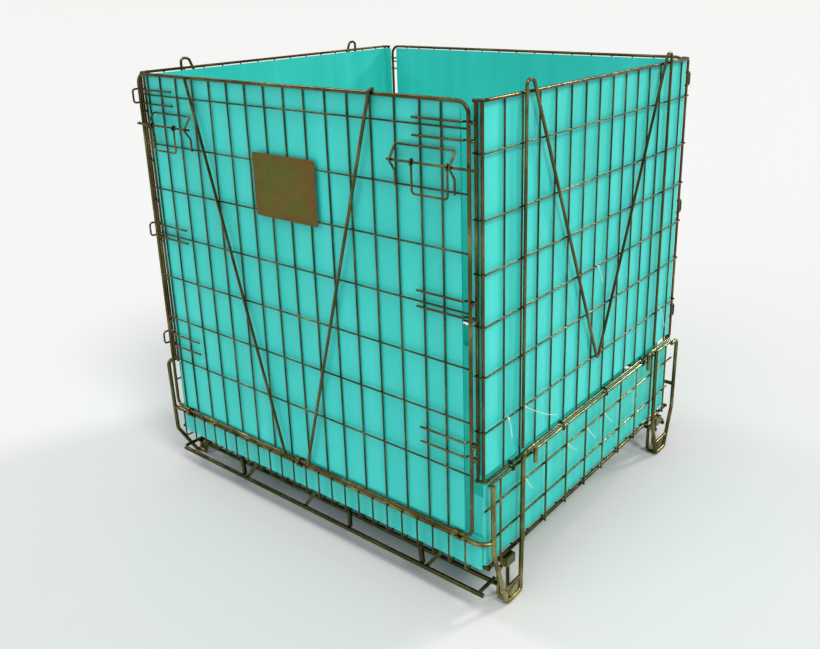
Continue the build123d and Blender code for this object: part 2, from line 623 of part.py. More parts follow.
with BuildPart() as cable_ties_base:
    for spot in SKIRT_TIES:
        tie(SKIRT_CROSS_OFF, SKIRT_WIRE, *spot)
save(cable_ties_base.part, "cable_ties_base")
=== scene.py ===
"""Looks of the collapsible wire mesh container: plated wire, fluted lining, cable ties, blank plate.

Metres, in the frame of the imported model: +Z up, the gate faces -Y. Places come from the boxes and
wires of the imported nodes, apart from the ties' spots and the studio.
"""
import math
import random

import bmesh
import bpy
from mathutils import Euler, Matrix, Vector, noise


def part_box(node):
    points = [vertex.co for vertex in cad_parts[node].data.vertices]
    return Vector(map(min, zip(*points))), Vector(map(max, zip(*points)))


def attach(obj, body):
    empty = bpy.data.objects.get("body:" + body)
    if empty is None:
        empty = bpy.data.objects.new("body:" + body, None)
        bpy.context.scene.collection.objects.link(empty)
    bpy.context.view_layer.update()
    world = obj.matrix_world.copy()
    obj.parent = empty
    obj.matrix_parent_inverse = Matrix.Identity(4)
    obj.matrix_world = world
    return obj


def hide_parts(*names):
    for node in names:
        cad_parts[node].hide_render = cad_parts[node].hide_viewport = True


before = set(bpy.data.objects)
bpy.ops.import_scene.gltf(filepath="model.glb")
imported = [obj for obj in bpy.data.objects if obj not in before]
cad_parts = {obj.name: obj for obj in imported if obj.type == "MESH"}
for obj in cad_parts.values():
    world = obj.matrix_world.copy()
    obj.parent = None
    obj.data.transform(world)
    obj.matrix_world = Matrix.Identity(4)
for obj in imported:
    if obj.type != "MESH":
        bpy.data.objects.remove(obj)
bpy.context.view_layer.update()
MM = 0.001


# ---------------------------------------------------------------- places read from the frame
WIRE_GAP = 6 * MM           # vertices further apart than this belong to different wires


def node_box(node):
    """Lowest and highest corner of a node, as vectors."""
    low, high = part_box(node)
    return Vector(low), Vector(high)


def wire_centres(node, axis):
    """Where the parallel wires of a node stand along an axis, from the gaps between their vertices."""
    places = sorted(v.co[axis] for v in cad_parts[node].data.vertices)
    groups = [[places[0]]]
    for place in places[1:]:
        if place - groups[-1][-1] > WIRE_GAP:
            groups.append([])
        groups[-1].append(place)
    return [(group[0] + group[-1]) / 2 for group in groups]


floor_low, floor_high = node_box("floor_liner")
MIDDLE_Y = (floor_low.y + floor_high.y) / 2
SHEET = floor_high.z - floor_low.z


# ---------------------------------------------------------------- materials
class Shader:
    """A node material with a Principled shader, built step by step."""

    def __init__(self, name, **sockets):
        self.material = bpy.data.materials.new(name)
        self.material.use_nodes = True
        self.nodes = self.material.node_tree.nodes
        self.links = self.material.node_tree.links
        self.main = self.nodes["Principled BSDF"]
        self.place = self.nodes.new("ShaderNodeTexCoord").outputs["Object"]
        for socket, value in sockets.items():
            self.main.inputs[socket.replace("_", " ")].default_value = value

    def set(self, socket, value):
        """Links an output to a socket, or puts a number or colour on it."""
        if isinstance(value, bpy.types.NodeSocket):
            self.links.new(value, socket)
        else:
            socket.default_value = value

    def stretch(self, scale):
        """Object coordinates with a scale of their own on each axis."""
        mapping = self.nodes.new("ShaderNodeMapping")
        mapping.inputs["Scale"].default_value = scale
        self.links.new(self.place, mapping.inputs["Vector"])
        return mapping.outputs["Vector"]

    def noise(self, scale, detail=3.0, vector=None, roughness=0.5):
        """Noise of that scale, per metre."""
        node = self.nodes.new("ShaderNodeTexNoise")
        node.inputs["Scale"].default_value = scale
        node.inputs["Detail"].default_value = detail
        node.inputs["Roughness"].default_value = roughness
        self.links.new(vector or self.place, node.inputs["Vector"])
        return node.outputs["Fac"]

    def ramp(self, value, stops):
        """Colours or greys along a value: (position, colour) stops."""
        node = self.nodes.new("ShaderNodeValToRGB")
        elements = node.color_ramp.elements
        while len(elements) < len(stops):
            elements.new(0.5)
        for element, (position, colour) in zip(elements, stops):
            element.position = position
            element.color = (*colour, 1) if isinstance(colour, tuple) else (colour, colour, colour, 1)
        self.links.new(value, node.inputs["Fac"])
        return node.outputs["Color"]

    def mix(self, factor, first, second):
        """Mixes two colours; factor is a number or an output."""
        node = self.nodes.new("ShaderNodeMix")
        node.data_type = "RGBA"
        # A colour mix has its factor at input 0, its colours at 6 and 7 and its result at output 2.
        for socket, value in ((node.inputs[0], factor), (node.inputs[6], first), (node.inputs[7], second)):
            self.set(socket, (*value, 1) if isinstance(value, tuple) else value)
        return node.outputs[2]

    def math(self, operation, first, second=0.0):
        """One arithmetic step on outputs or numbers."""
        node = self.nodes.new("ShaderNodeMath")
        node.operation = operation
        for socket, value in zip(node.inputs, (first, second)):
            self.set(socket, value)
        return node.outputs["Value"]

    def edge_distance(self):
        """How far from the middle of the piece's box in X and Z: 0 there, 0.5 at its edges."""
        split = self.nodes.new("ShaderNodeSeparateXYZ")
        self.links.new(self.nodes.new("ShaderNodeTexCoord").outputs["Generated"], split.inputs["Vector"])
        away = [self.math("ABSOLUTE", self.math("SUBTRACT", split.outputs[axis], 0.5)) for axis in "XZ"]
        return self.math("MAXIMUM", *away)

    def bump(self, height, distance, strength=1.0):
        """Adds relief of that depth, on top of what is there."""
        node = self.nodes.new("ShaderNodeBump")
        node.inputs["Distance"].default_value = distance
        node.inputs["Strength"].default_value = strength
        self.links.new(height, node.inputs["Height"])
        normal = self.main.inputs["Normal"]
        if normal.is_linked:
            self.links.new(normal.links[0].from_socket, node.inputs["Normal"])
        self.links.new(node.outputs["Normal"], normal)

    def feed(self, socket, value):
        """Links an output to a socket of the main shader."""
        self.links.new(value, self.main.inputs[socket])


def plated_wire(name, dark, mid, light, warm):
    """Zinc plate with a yellow chromate: olive gold that drifts to brown, drawn lines, dull specks."""
    shader = Shader(name, Metallic=1.0)
    drift = shader.ramp(shader.noise(9.0, 3.0), [(0.30, dark), (0.50, mid), (0.72, light)])
    bloom = shader.ramp(shader.noise(31.0, 2.0), [(0.46, 0.0), (0.64, 0.75)])
    tinted = shader.mix(bloom, drift, warm)
    specks = shader.ramp(shader.noise(420.0, 2.0), [(0.60, 0.0), (0.72, 0.55)])
    colour = shader.mix(specks, tinted, tuple(0.45 * c for c in dark))
    shader.feed("Base Color", colour)
    shader.feed("Roughness", shader.ramp(shader.noise(60.0, 4.0), [(0.3, 0.16), (0.7, 0.34)]))
    shader.bump(shader.noise(900.0, 2.0), 0.05 * MM, 0.5)
    shader.bump(shader.noise(70.0, 3.0), 0.25 * MM, 0.35)
    return shader.material


def fluted_sheet(name, across):
    """Fluted polypropylene: broad streaks from the extruder, soft bruises and scuffs.

    across is the axis that the streaks are narrow along: 0 for X, 1 for Y.
    """
    shader = Shader(name, IOR=1.46)
    scale = [1.0, 1.0, 1.0]
    scale[across] = 9.0
    streaks = shader.noise(1.3, 2.0, shader.stretch(scale))
    tone = shader.ramp(streaks, [(0.32, (0.034, 0.620, 0.552)), (0.50, (0.042, 0.670, 0.600)),
                                 (0.70, (0.056, 0.720, 0.658))])
    clouds = shader.ramp(shader.noise(2.4, 3.0), [(0.38, 0.0), (0.72, 0.45)])
    clouded = shader.mix(clouds, tone, (0.018, 0.555, 0.490))
    scuffs = shader.ramp(shader.noise(22.0, 6.0, roughness=0.7), [(0.64, 0.0), (0.82, 0.25)])
    shader.feed("Base Color", shader.mix(scuffs, clouded, (0.14, 0.68, 0.63)))
    shader.feed("Roughness", shader.ramp(shader.noise(12.0, 4.0), [(0.3, 0.40), (0.7, 0.56)]))
    shader.bump(streaks, 0.5 * MM, 0.3)
    shader.bump(shader.noise(300.0, 3.0), 0.04 * MM, 0.4)
    return shader.material


def nylon(name):
    """White cable tie nylon, a little milky."""
    shader = Shader(name, Roughness=0.38, IOR=1.52)
    shader.feed("Base Color", shader.ramp(shader.noise(120.0, 2.0), [(0.3, (0.64, 0.70, 0.68)),
                                                                     (0.7, (0.78, 0.82, 0.80))]))
    shader.bump(shader.noise(1500.0, 1.0), 0.05 * MM, 0.4)
    return shader.material


def blank_plate(name):
    """Chromated sheet: blotches of olive green and rust brown, redder to its edges, dull."""
    shader = Shader(name, Metallic=0.15, Specular_IOR_Level=0.25)
    base = shader.ramp(shader.noise(7.0, 4.0, roughness=0.6), [(0.30, (0.080, 0.108, 0.006)),
                                                              (0.48, (0.105, 0.108, 0.008)),
                                                              (0.66, (0.145, 0.090, 0.010))])
    lines = shader.noise(30.0, 3.0, shader.stretch((1.0, 1.0, 14.0)))
    streaked = shader.mix(shader.ramp(lines, [(0.45, 0.0), (0.75, 0.4)]), base, (0.062, 0.070, 0.008))
    edge = shader.ramp(shader.edge_distance(), [(0.30, 0.0), (0.50, 0.65)])
    shader.feed("Base Color", shader.mix(edge, streaked, (0.140, 0.060, 0.010)))
    shader.feed("Roughness", shader.ramp(shader.noise(35.0, 4.0), [(0.3, 0.45), (0.7, 0.68)]))
    shader.bump(lines, 0.08 * MM, 0.5)
    shader.bump(shader.noise(14.0, 2.0), 0.8 * MM, 0.4)
    return shader.material


WIRE = plated_wire("wire_thin", (0.032, 0.034, 0.008), (0.070, 0.068, 0.019), (0.165, 0.148, 0.056),
                   (0.082, 0.046, 0.015))
ROD = plated_wire("wire_thick", (0.050, 0.044, 0.013), (0.105, 0.086, 0.028), (0.240, 0.205, 0.082),
                  (0.135, 0.062, 0.025))
BASE_ROD = plated_wire("wire_base", (0.060, 0.062, 0.015), (0.145, 0.136, 0.039), (0.400, 0.365, 0.150),
                       (0.135, 0.085, 0.030))
# A darker copy of the plating: painted shade for the parts under the floor, which sit in shadow.
UNDER_ROD_PAINTED_SHADE = plated_wire("wire_under_painted_shade", (0.026, 0.031, 0.008), (0.058, 0.061, 0.018), (0.150, 0.142, 0.052),
                        (0.066, 0.046, 0.016))
SHEET_X = fluted_sheet("sheet_across_x", 0)
SHEET_Y = fluted_sheet("sheet_across_y", 1)
NYLON = nylon("tie_nylon")
PLATE = blank_plate("plate_blank")

THIN_NODES = ("uprights", "cross_wires", "sill_wires", "floor_wires", "hinge_rings")
# Nodes under the floor, which take the darker copy of the plating as painted shade.
UNDER_NODES = ("runner_gussets", "floor_frame", "front_runner", "middle_runner", "rear_runner")
BASE_NODES = ("foot", "skirt", "sill_bars", "hinge_clips", "clip_bolts")


def material_of(node):
    """The plating that a wire node takes: under the floor (a darker copy, painted shade), base steel, thin
    wire or panel rod.
    """
    if node.startswith(UNDER_NODES):
        return UNDER_ROD_PAINTED_SHADE
    if node.startswith(BASE_NODES):
        return BASE_ROD
    return WIRE if any(word in node for word in THIN_NODES) else ROD


for node_name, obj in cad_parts.items():
    obj.data.materials.clear()
    obj.data.materials.append(material_of(node_name))


# ---------------------------------------------------------------- making pieces
SHARP_ANGLE = 38            # degrees between faces, from which an edge stays sharp


def add_piece(name, verts, faces, material, body):
    """A smooth-shaded mesh piece, in the frame's coordinates, that rides on a body."""
    mesh = bpy.data.meshes.new(name)
    mesh.from_pydata([tuple(v) for v in verts], [], faces)
    shape = bmesh.new()
    shape.from_mesh(mesh)
    bmesh.ops.delete(shape, geom=[v for v in shape.verts if not v.link_faces], context="VERTS")
    bmesh.ops.recalc_face_normals(shape, faces=shape.faces)
    shape.to_mesh(mesh)
    shape.free()
    piece = bpy.data.objects.new(name, mesh)
    bpy.context.scene.collection.objects.link(piece)
    mesh.materials.append(material)
    mesh.shade_smooth()
    mesh.set_sharp_from_angle(angle=math.radians(SHARP_ANGLE))
    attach(piece, body)
    return piece


# ---------------------------------------------------------------- fluted sheets
FLUTE = 6 * MM              # from web to web
SKIN = 0.45 * MM            # wall of a flute
TINY = 0.001 * MM           # keeps a division from a zero length
DIMPLE = 0.12 * MM          # how far the skins sink at each web
ROW = 62 * MM               # height of one row of faces
BOW = 2.6 * MM              # how far a sheet bows inward between its ties
FADE = 70 * MM              # distance from an edge over which the bow starts
FADE_TOP = 2.2              # how many times faster it starts from the top edge
FADE_BOTTOM = 1.2           # and from the bottom edge
WAVE_SCALE = (3.1, 2.3)     # of the bow's noise, per metre along the sheet and up it
WAVE_MIDDLE = 0.5           # its mean, as a share of the bow
WAVE_SWING = 0.9
WAVE_MOST = 1.3
TURNED = 0.05               # difference between two normals that marks a fold
FOLD = 3.5 * MM             # radius of a fold, to the sheet's middle
FOLD_STEPS = 4              # stretches round a fold
RETURN_CUT = 32 * MM        # how much lower a lower side liner's returns are than its wall


def side_of(first, second):
    """Positive where the way turns left."""
    return first.x * second.y - first.y * second.x


def straight(start, end):
    """Stations on one straight stretch, its start and its end included."""
    way = end - start
    steps = max(1, round(way.length / FLUTE))
    normal = Vector((way.y, -way.x)).normalized()
    return [(start + way * (n / steps), normal) for n in range(steps + 1)]


def flute_stations(path):
    """Points along a folded plan line, a flute apart, with the outward normal at each.

    path is a list of (x, y) corners; outward is to the right of the way along it.
    """
    stations = []
    start = Vector(path[0])
    for n in range(1, len(path) - 1):
        before, here, after = (Vector(path[n + k]) for k in (-1, 0, 1))
        inward, outward = (here - before).normalized(), (after - here).normalized()
        stations += straight(start, here - inward * FOLD)
        centre = here - inward * FOLD + outward * FOLD
        for step in range(1, FOLD_STEPS):
            angle = math.pi / 2 * step / FOLD_STEPS
            point = centre - outward * FOLD * math.cos(angle) + inward * FOLD * math.sin(angle)
            across = (outward * -math.cos(angle) + inward * math.sin(angle)).normalized()
            stations.append((point, across if side_of(inward, outward) > 0 else -across))
        start = here + outward * FOLD
    stations += straight(start, Vector(path[-1]))
    return stations


def flute_verts(stations, lift, levels, bow):
    """Places of a fluted sheet, and where each is in the list.

    outer[station, level, face] are the skins' points at the webs. middle[flute, level, face] are
    the skins' points halfway between two webs. inner[flute, level, face, hand] are the corners of
    a flute's hole. face and hand are -1 or 1.
    """
    half = SHEET / 2
    verts = []
    outer, middle, inner = {}, {}, {}
    for i, (point, normal) in enumerate(stations):
        for k, level in enumerate(levels):
            sag = bow(i, level)
            for face in (-1, 1):
                outer[i, k, face] = len(verts)
                reach = face * (half - DIMPLE) + sag
                verts.append(lift(point + normal * reach, level))
    for i, ((p0, n0), (p1, n1)) in enumerate(zip(stations, stations[1:])):
        point, normal = (p0 + p1) / 2, (n0 + n1).normalized()
        web = (p1 - p0) * 0.5 * max(0.0, 1 - SKIN / max((p1 - p0).length, TINY))
        for k, level in enumerate(levels):
            sag = (bow(i, level) + bow(i + 1, level)) / 2
            for face in (-1, 1):
                middle[i, k, face] = len(verts)
                verts.append(lift(point + normal * (face * half + sag), level))
                for hand in (-1, 1):
                    inner[i, k, face, hand] = len(verts)
                    reach = face * (half - DIMPLE - SKIN) + sag
                    verts.append(lift(point + web * hand + normal * reach, level))
    return verts, outer, middle, inner


def twin_wall(name, stations, lift, levels, missing, bow, material, body):
    """A fluted sheet: two skins joined by webs, open at the flutes' ends.

    stations are (point, normal) across the flutes, lift turns a point and a level into a place,
    levels are along the flutes, missing says which cells are cut away, bow is the shape's sag.
    """
    verts, outer, middle, inner = flute_verts(stations, lift, levels, bow)
    rows, columns = len(levels), len(stations)
    faces = []

    def there(i, k):
        return 0 <= i < columns - 1 and 0 <= k < rows - 1 and not missing(i, k)

    def skins(i, k):
        """The outside of one cell: two faces on each skin."""
        for face in (-1, 1):
            low, high = ([outer[i, row, face], middle[i, row, face], outer[i + 1, row, face]]
                         for row in (k, k + 1))
            faces.append((low[0], low[1], high[1], high[0]))
            faces.append((low[1], low[2], high[2], high[1]))

    def hole(i, k):
        """The inside of one cell: the four walls of its flute."""
        around = [(-1, -1), (-1, 1), (1, 1), (1, -1)]
        for (fa, ha), (fb, hb) in zip(around, around[1:] + around[:1]):
            faces.append((inner[i, k, fa, ha], inner[i, k, fb, hb], inner[i, k + 1, fb, hb],
                          inner[i, k + 1, fa, ha]))

    def flute_end(i, k):
        """Open end of a flute: the faces between the outline and the hole."""
        for face in (-1, 1):
            left, right = inner[i, k, face, -1], inner[i, k, face, 1]
            faces.append((outer[i, k, face], middle[i, k, face], right, left))
            faces.append((middle[i, k, face], outer[i + 1, k, face], right))
        for hand, edge in ((-1, i), (1, i + 1)):
            faces.append((outer[edge, k, -1], outer[edge, k, 1], inner[i, k, 1, hand],
                          inner[i, k, -1, hand]))

    def sheet_edge(edge, k):
        """The closed side of the sheet, along its flutes."""
        faces.append((outer[edge, k, -1], outer[edge, k, 1], outer[edge, k + 1, 1],
                      outer[edge, k + 1, -1]))

    for i in range(columns - 1):
        for k in range(rows - 1):
            if not there(i, k):
                continue
            skins(i, k)
            hole(i, k)
            for beyond, level in ((k - 1, k), (k + 1, k + 1)):
                if not there(i, beyond):
                    flute_end(i, level)
            for beyond, edge in ((i - 1, i), (i + 1, i + 1)):
                if not there(beyond, k):
                    sheet_edge(edge, k)
    return add_piece(name, verts, faces, material, body)


def nothing_cut(i, k):
    """No cell of the sheet is missing."""
    return False


def upright(point, level):
    """A place on a wall sheet: plan point and height."""
    return (point.x, point.y, level)


def height_levels(low, high, cuts=()):
    """Levels from low to high about a row apart, with the cuts among them."""
    marks = sorted({low, high, *cuts})
    levels = [marks[0]]
    for below, above in zip(marks, marks[1:]):
        steps = max(1, round((above - below) / ROW))
        levels += [below + (above - below) * (n + 1) / steps for n in range(steps)]
    return levels


def inward_bow(stations, low, high, seed):
    """Sag of a wall sheet inward, from noise, none near its edges and folds."""
    runs = [0.0]
    for (p0, _), (p1, _) in zip(stations, stations[1:]):
        runs.append(runs[-1] + (p1 - p0).length)
    edges = [0.0, runs[-1]]
    for (_, n0), (_, n1), run in zip(stations, stations[1:], runs):
        if (n1 - n0).length > TURNED:
            edges.append(run)

    def bow(i, level):
        near = min(abs(runs[i] - edge) for edge in edges)
        near = min(near, (high - level) * FADE_TOP, (level - low) * FADE_BOTTOM)
        fade = max(0.0, min(1.0, near / FADE))
        place = Vector((runs[i] * WAVE_SCALE[0], level * WAVE_SCALE[1], seed))
        wave = noise.noise(place) * WAVE_SWING + WAVE_MIDDLE
        return -BOW * fade * fade * (3 - 2 * fade) * max(0.0, min(WAVE_MOST, wave))
    return bow


def wall_sheet(node, path, body, material, seed, return_cut=0.0):
    """A fluted wall sheet with upright flutes that stands for a liner node.

    path is its plan line, and return_cut is how much lower its returns are than its wall.
    """
    low, high = node_box(node)
    return_top = high.z - return_cut
    stations = flute_stations(path)
    levels = height_levels(low.z, high.z, (return_top,))
    wall_x = path[1][0]

    def cut_away(i, k):
        """Cells of the returns, beyond the wall's own thickness, above their top."""
        point = (stations[i][0] + stations[i + 1][0]) / 2
        level = (levels[k] + levels[k + 1]) / 2
        return abs(point.x - wall_x) > 0.6 * SHEET and level > return_top

    piece = twin_wall(f"{node}_fluted", stations, upright, levels, cut_away if return_cut else nothing_cut,
                      inward_bow(stations, low.z, high.z, seed), material, body)
    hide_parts(node)


def flat_wall(node, way, body, seed):
    """A flat liner along X. way is 1 where its outward side is the front, -1 where it is the rear."""
    low, high = node_box(node)
    mid_y = (low.y + high.y) / 2
    wall_sheet(node, [(way * low.x, mid_y), (way * high.x, mid_y)], body, SHEET_X, seed)


def folded_wall(node, side, body, seed, return_cut=0.0):
    """A side liner with a return folded in at each end. side is 1 on the right, -1 on the left."""
    low, high = node_box(node)
    half = SHEET / 2
    wall_x = (high.x if side > 0 else low.x) - side * half
    end_x = low.x if side > 0 else high.x
    front, rear = low.y + half, high.y - half
    path = [(end_x, front), (wall_x, front), (wall_x, rear), (end_x, rear)]
    wall_sheet(node, path[::side], body, SHEET_Y, seed, return_cut)


flat_wall("gate_liner", 1, "gate", 1.7)
flat_wall("back_liner", -1, "back", 9.2)
for name, side in (("right", 1), ("left", -1)):
    folded_wall(f"side_liner_{name}", side, f"side_{name}", 3.0 + side)
    folded_wall(f"lower_liner_{name}", side, "base", 5.0 + side, RETURN_CUT)
flat_wall("lower_liner_front", 1, "base", 13.0)
flat_wall("lower_liner_rear", -1, "base", 11.0)


def lying(point, level):
    """A place on the floor sheet, whose flutes run along Y: point.x across, point.y the height."""
    return (point.x, level, point.y)


floor_mid = (floor_low.z + floor_high.z) / 2
floor_stations = straight(Vector((floor_high.x, floor_mid)), Vector((floor_low.x, floor_mid)))
floor_piece = twin_wall("floor_liner_fluted", floor_stations, lying,
                        height_levels(floor_low.y, floor_high.y), nothing_cut,
                        lambda i, level: 0.0, SHEET_X, "base")
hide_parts("floor_liner")


# ---------------------------------------------------------------- weld nuggets
NUGGET = 3.1 * MM           # radius of the metal squeezed out at a crossing
SKIRT_NUGGET = 3.6 * MM     # the same on the skirts' thicker wires
NUGGET_THICK = 1.5 * MM     # half thickness
RIPPLE = 0.07               # how uneven its outline is
ACROSS_X = Vector((1, 0, 0))
ACROSS_Y = Vector((0, 1, 0))


def nuggets(name, body, spots, normal, material, radius=NUGGET):
    """Flattened beads where two wires are welded, each a little different."""
    luck = random.Random(name)
    verts, faces = [], []
    turns, bands = 10, 4
    for spot in spots:
        first = normal.orthogonal().normalized()
        second = normal.cross(first)
        base = len(verts)
        size = radius * luck.uniform(0.88, 1.15)
        phase = luck.uniform(0, math.pi)
        for band in range(1, bands):
            tilt = math.pi * band / bands
            for turn in range(turns):
                angle = 2 * math.pi * turn / turns
                out = size * math.sin(tilt) * (1 + RIPPLE * math.sin(3 * angle + phase))
                verts.append(spot + first * out * math.cos(angle) + second * out * math.sin(angle)
                             + normal * NUGGET_THICK * math.cos(tilt))
        top, bottom = len(verts), len(verts) + 1
        verts += [spot + normal * NUGGET_THICK, spot - normal * NUGGET_THICK]
        for turn in range(turns):
            after = (turn + 1) % turns
            for band in range(bands - 2):
                row = base + band * turns
                faces.append((row + turn, row + after, row + turns + after, row + turns + turn))
            last = base + (bands - 2) * turns
            faces.append((top, base + after, base + turn))
            faces.append((bottom, last + turn, last + after))
    piece = add_piece(name, verts, faces, material, body)


for panel, outside in (("gate", 0), ("back", 1)):
    contact_y = node_box(f"{panel}_uprights")[outside].y
    crossings = [Vector((x, contact_y, z))
                 for x in wire_centres(f"{panel}_uprights", 0)
                 for z in wire_centres(f"{panel}_cross_wires", 2)]
    nuggets(f"{panel}_welds", panel, crossings, ACROSS_Y, WIRE)

for name, outside in (("right", 1), ("left", 0)):
    contact_x = node_box(f"side_uprights_{name}")[outside].x
    crossings = [Vector((contact_x, y, z))
                 for y in wire_centres(f"side_uprights_{name}", 1)
                 for z in wire_centres(f"side_cross_wires_{name}", 2)]
    nuggets(f"side_welds_{name}", f"side_{name}", crossings, ACROSS_X, WIRE)

SKIRT_WIRE = 2.75 * MM      # radius of the skirts' wires
skirt_contact = node_box("skirt_uprights")[1].x - 2 * SKIRT_WIRE
crossings = [Vector((side * skirt_contact, y, z))
             for side in (-1, 1)
             for y in wire_centres("skirt_uprights", 1)
             for z in wire_centres("skirt_cross_wires", 2)]
nuggets("skirt_welds", "base", crossings, ACROSS_X, BASE_ROD, SKIRT_NUGGET)


# ---------------------------------------------------------------- cable ties
TIE_WIDTH = 1.6 * MM
LOOP_THICK = 1.0 * MM       # of the strap round the wire
LOOP_GAP = 0.9 * MM         # from the wire's skin to the middle of the strap
LOOP_MOUTH = 40             # degrees of the round that the head takes up
LOOP_STEPS = 20
HEAD_OUT = 1.6 * MM         # from the strap to the middle of the head
HEAD_WIDTH = 2.3 * MM       # half of it, along the wire
HEAD_HEIGHT = 2.7 * MM      # half of it
HEAD_STEPS = ((-2.3, 0.72), (-1.9, 1.0), (1.6, 1.0), (2.1, 0.78))   # depth in mm, share of its size
TAIL_THICK = 0.8 * MM
TAIL_STEPS = 14
TAIL_OUT = 17 * MM          # how far from the wire a tail ends
TAIL_START = 0.8 * MM       # from the middle of the head
TAIL_TAPER = (0.8, 0.45)    # width at its last two points, as a share of the tie's
TAIL_SPRING = 0.9           # how far a tail springs outward, for each unit that it droops
TAIL_FLAT = Vector((0.25, 0.3, 1)).normalized()     # the way a tail's width is held
CORNERS = ((-1, -1), (1, -1), (1, 1), (-1, 1))


def tube_faces(rings):
    """Faces of a closed four-sided tube whose corners are listed ring by ring."""
    walls = [(4 * n + side, 4 * n + (side + 1) % 4, 4 * n + 4 + (side + 1) % 4, 4 * n + 4 + side)
             for n in range(rings - 1) for side in range(4)]
    last = 4 * (rings - 1)
    return walls + [(0, 1, 2, 3), (last + 3, last + 2, last + 1, last)]


def ribbon(points, widths, thick, across):
    """Corners of a flat strap along points; across gives its width's direction."""
    verts = []
    for n, point in enumerate(points):
        before, after = points[max(n - 1, 0)], points[min(n + 1, len(points) - 1)]
        way = (after - before).normalized()
        wide = (across - way * across.dot(way)).normalized()
        up = way.cross(wide)
        verts += [point + wide * (a * widths[n] / 2) + up * (b * thick / 2) for a, b in CORNERS]
    return verts


def cable_tie(name, body, anchor, wire_radius, tail_end, droop):
    """A tie round an along-Y wire on the right side: strap, head, and a tail that springs away."""
    radius = wire_radius + LOOP_GAP
    mouth = math.radians(LOOP_MOUTH)
    angles = [mouth / 2 + (2 * math.pi - mouth) * n / LOOP_STEPS for n in range(LOOP_STEPS + 1)]
    loop = [anchor + Vector((math.cos(angle) * radius, 0, math.sin(angle) * radius)) for angle in angles]
    strap = ribbon(loop, [TIE_WIDTH] * len(loop), LOOP_THICK, ACROSS_Y)

    head = anchor + ACROSS_X * (radius + HEAD_OUT)
    shell = [head + Vector((depth * MM, a * HEAD_WIDTH * share, b * HEAD_HEIGHT * share))
             for depth, share in HEAD_STEPS for a, b in CORNERS]

    start = head + ACROSS_X * TAIL_START
    tail = []
    for n in range(TAIL_STEPS + 1):
        along = n / TAIL_STEPS
        fall = math.sin(math.pi * along) * droop
        tail.append(start.lerp(tail_end, along) + Vector((fall * TAIL_SPRING, 0, -fall)))
    widths = [TIE_WIDTH] * (TAIL_STEPS - 1) + [share * TIE_WIDTH for share in TAIL_TAPER]
    free_end = ribbon(tail, widths, TAIL_THICK, TAIL_FLAT)

    verts, faces = [], []
    for corners in (strap, shell, free_end):
        faces += [tuple(len(verts) + i for i in face) for face in tube_faces(len(corners) // 4)]
        verts += corners
    piece = add_piece(name, verts, faces, NYLON, body)
    return piece


def tie_group(node, body, wires, wire_radius, spots):
    """Ties on the right-hand wires of a node, which stand for the ties' own node.

    Spots are (y, z, tail y, tail z, droop) in mm, with y from the middle of the floor.
    """
    wire_x = node_box(wires)[1].x - wire_radius
    for n, (y, z, tail_y, tail_z, droop) in enumerate(spots):
        anchor = Vector((wire_x, MIDDLE_Y + y * MM, z * MM))
        tail_end = Vector((wire_x + TAIL_OUT, MIDDLE_Y + tail_y * MM, tail_z * MM))
        piece = cable_tie(f"{node}_{n + 1}", body, anchor, wire_radius, tail_end, droop * MM)
        if n == 0:
            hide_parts(node)


SIDE_WIRE = 2.25 * MM       # radius of the side panels' wires
tie_group("cable_ties_side_right", "side_right", "side_cross_wires_right", SIDE_WIRE,
          [(-13, 754, -9, 712, 3), (-361, 496, -226, 420, 6), (-433, 496, -437, 452, 3),
           (408, 496, 416, 440, 4)])
tie_group("cable_ties_base", "base", "skirt_cross_wires", SKIRT_WIRE,
          [(-147, 292, -120, 268, 3), (-355, 292, -338, 262, 3), (-43, 292, -14, 256, 4),
           (61, 292, 85, 260, 4)])


# ---------------------------------------------------------------- blank plate
PLATE_COLUMNS = 36
PLATE_ROWS = 26
PLATE_CORNER = 5 * MM       # how far from a corner its rounding starts
PLATE_PULL = 0.7            # share of that distance by which a point is drawn in
PLATE_ROLL = 3 * MM         # width of the band where the edge rolls back
ROLL_DEPTH = 0.45 * MM
BUCKLE = 0.35 * MM
BUCKLE_SCALE = 14           # per metre
PLATE_SET_BACK = 0.4 * MM   # keeps the buckle within the node's box


def plate_point(low, high, column, row, face):
    """A point of the plate: face 0 is its front, 1 its flat back."""
    x = low.x + (high.x - low.x) * column / PLATE_COLUMNS
    z = low.z + (high.z - low.z) * row / PLATE_ROWS
    dx = max(0.0, PLATE_CORNER - min(x - low.x, high.x - x))
    dz = max(0.0, PLATE_CORNER - min(z - low.z, high.z - z))
    pull = PLATE_PULL * max(0.0, math.hypot(dx, dz) - PLATE_CORNER)
    x -= math.copysign(pull, x - (low.x + high.x) / 2)
    z -= math.copysign(pull, z - (low.z + high.z) / 2)
    if face == 1:
        return (x, high.y, z)
    edge = min(x - low.x, high.x - x, z - low.z, high.z - z)
    rolled = max(0.0, 1 - edge / PLATE_ROLL) * ROLL_DEPTH
    buckle = noise.noise(Vector((x * BUCKLE_SCALE, 0.3, z * BUCKLE_SCALE))) * BUCKLE
    return (x, low.y + (buckle + rolled + PLATE_SET_BACK), z)


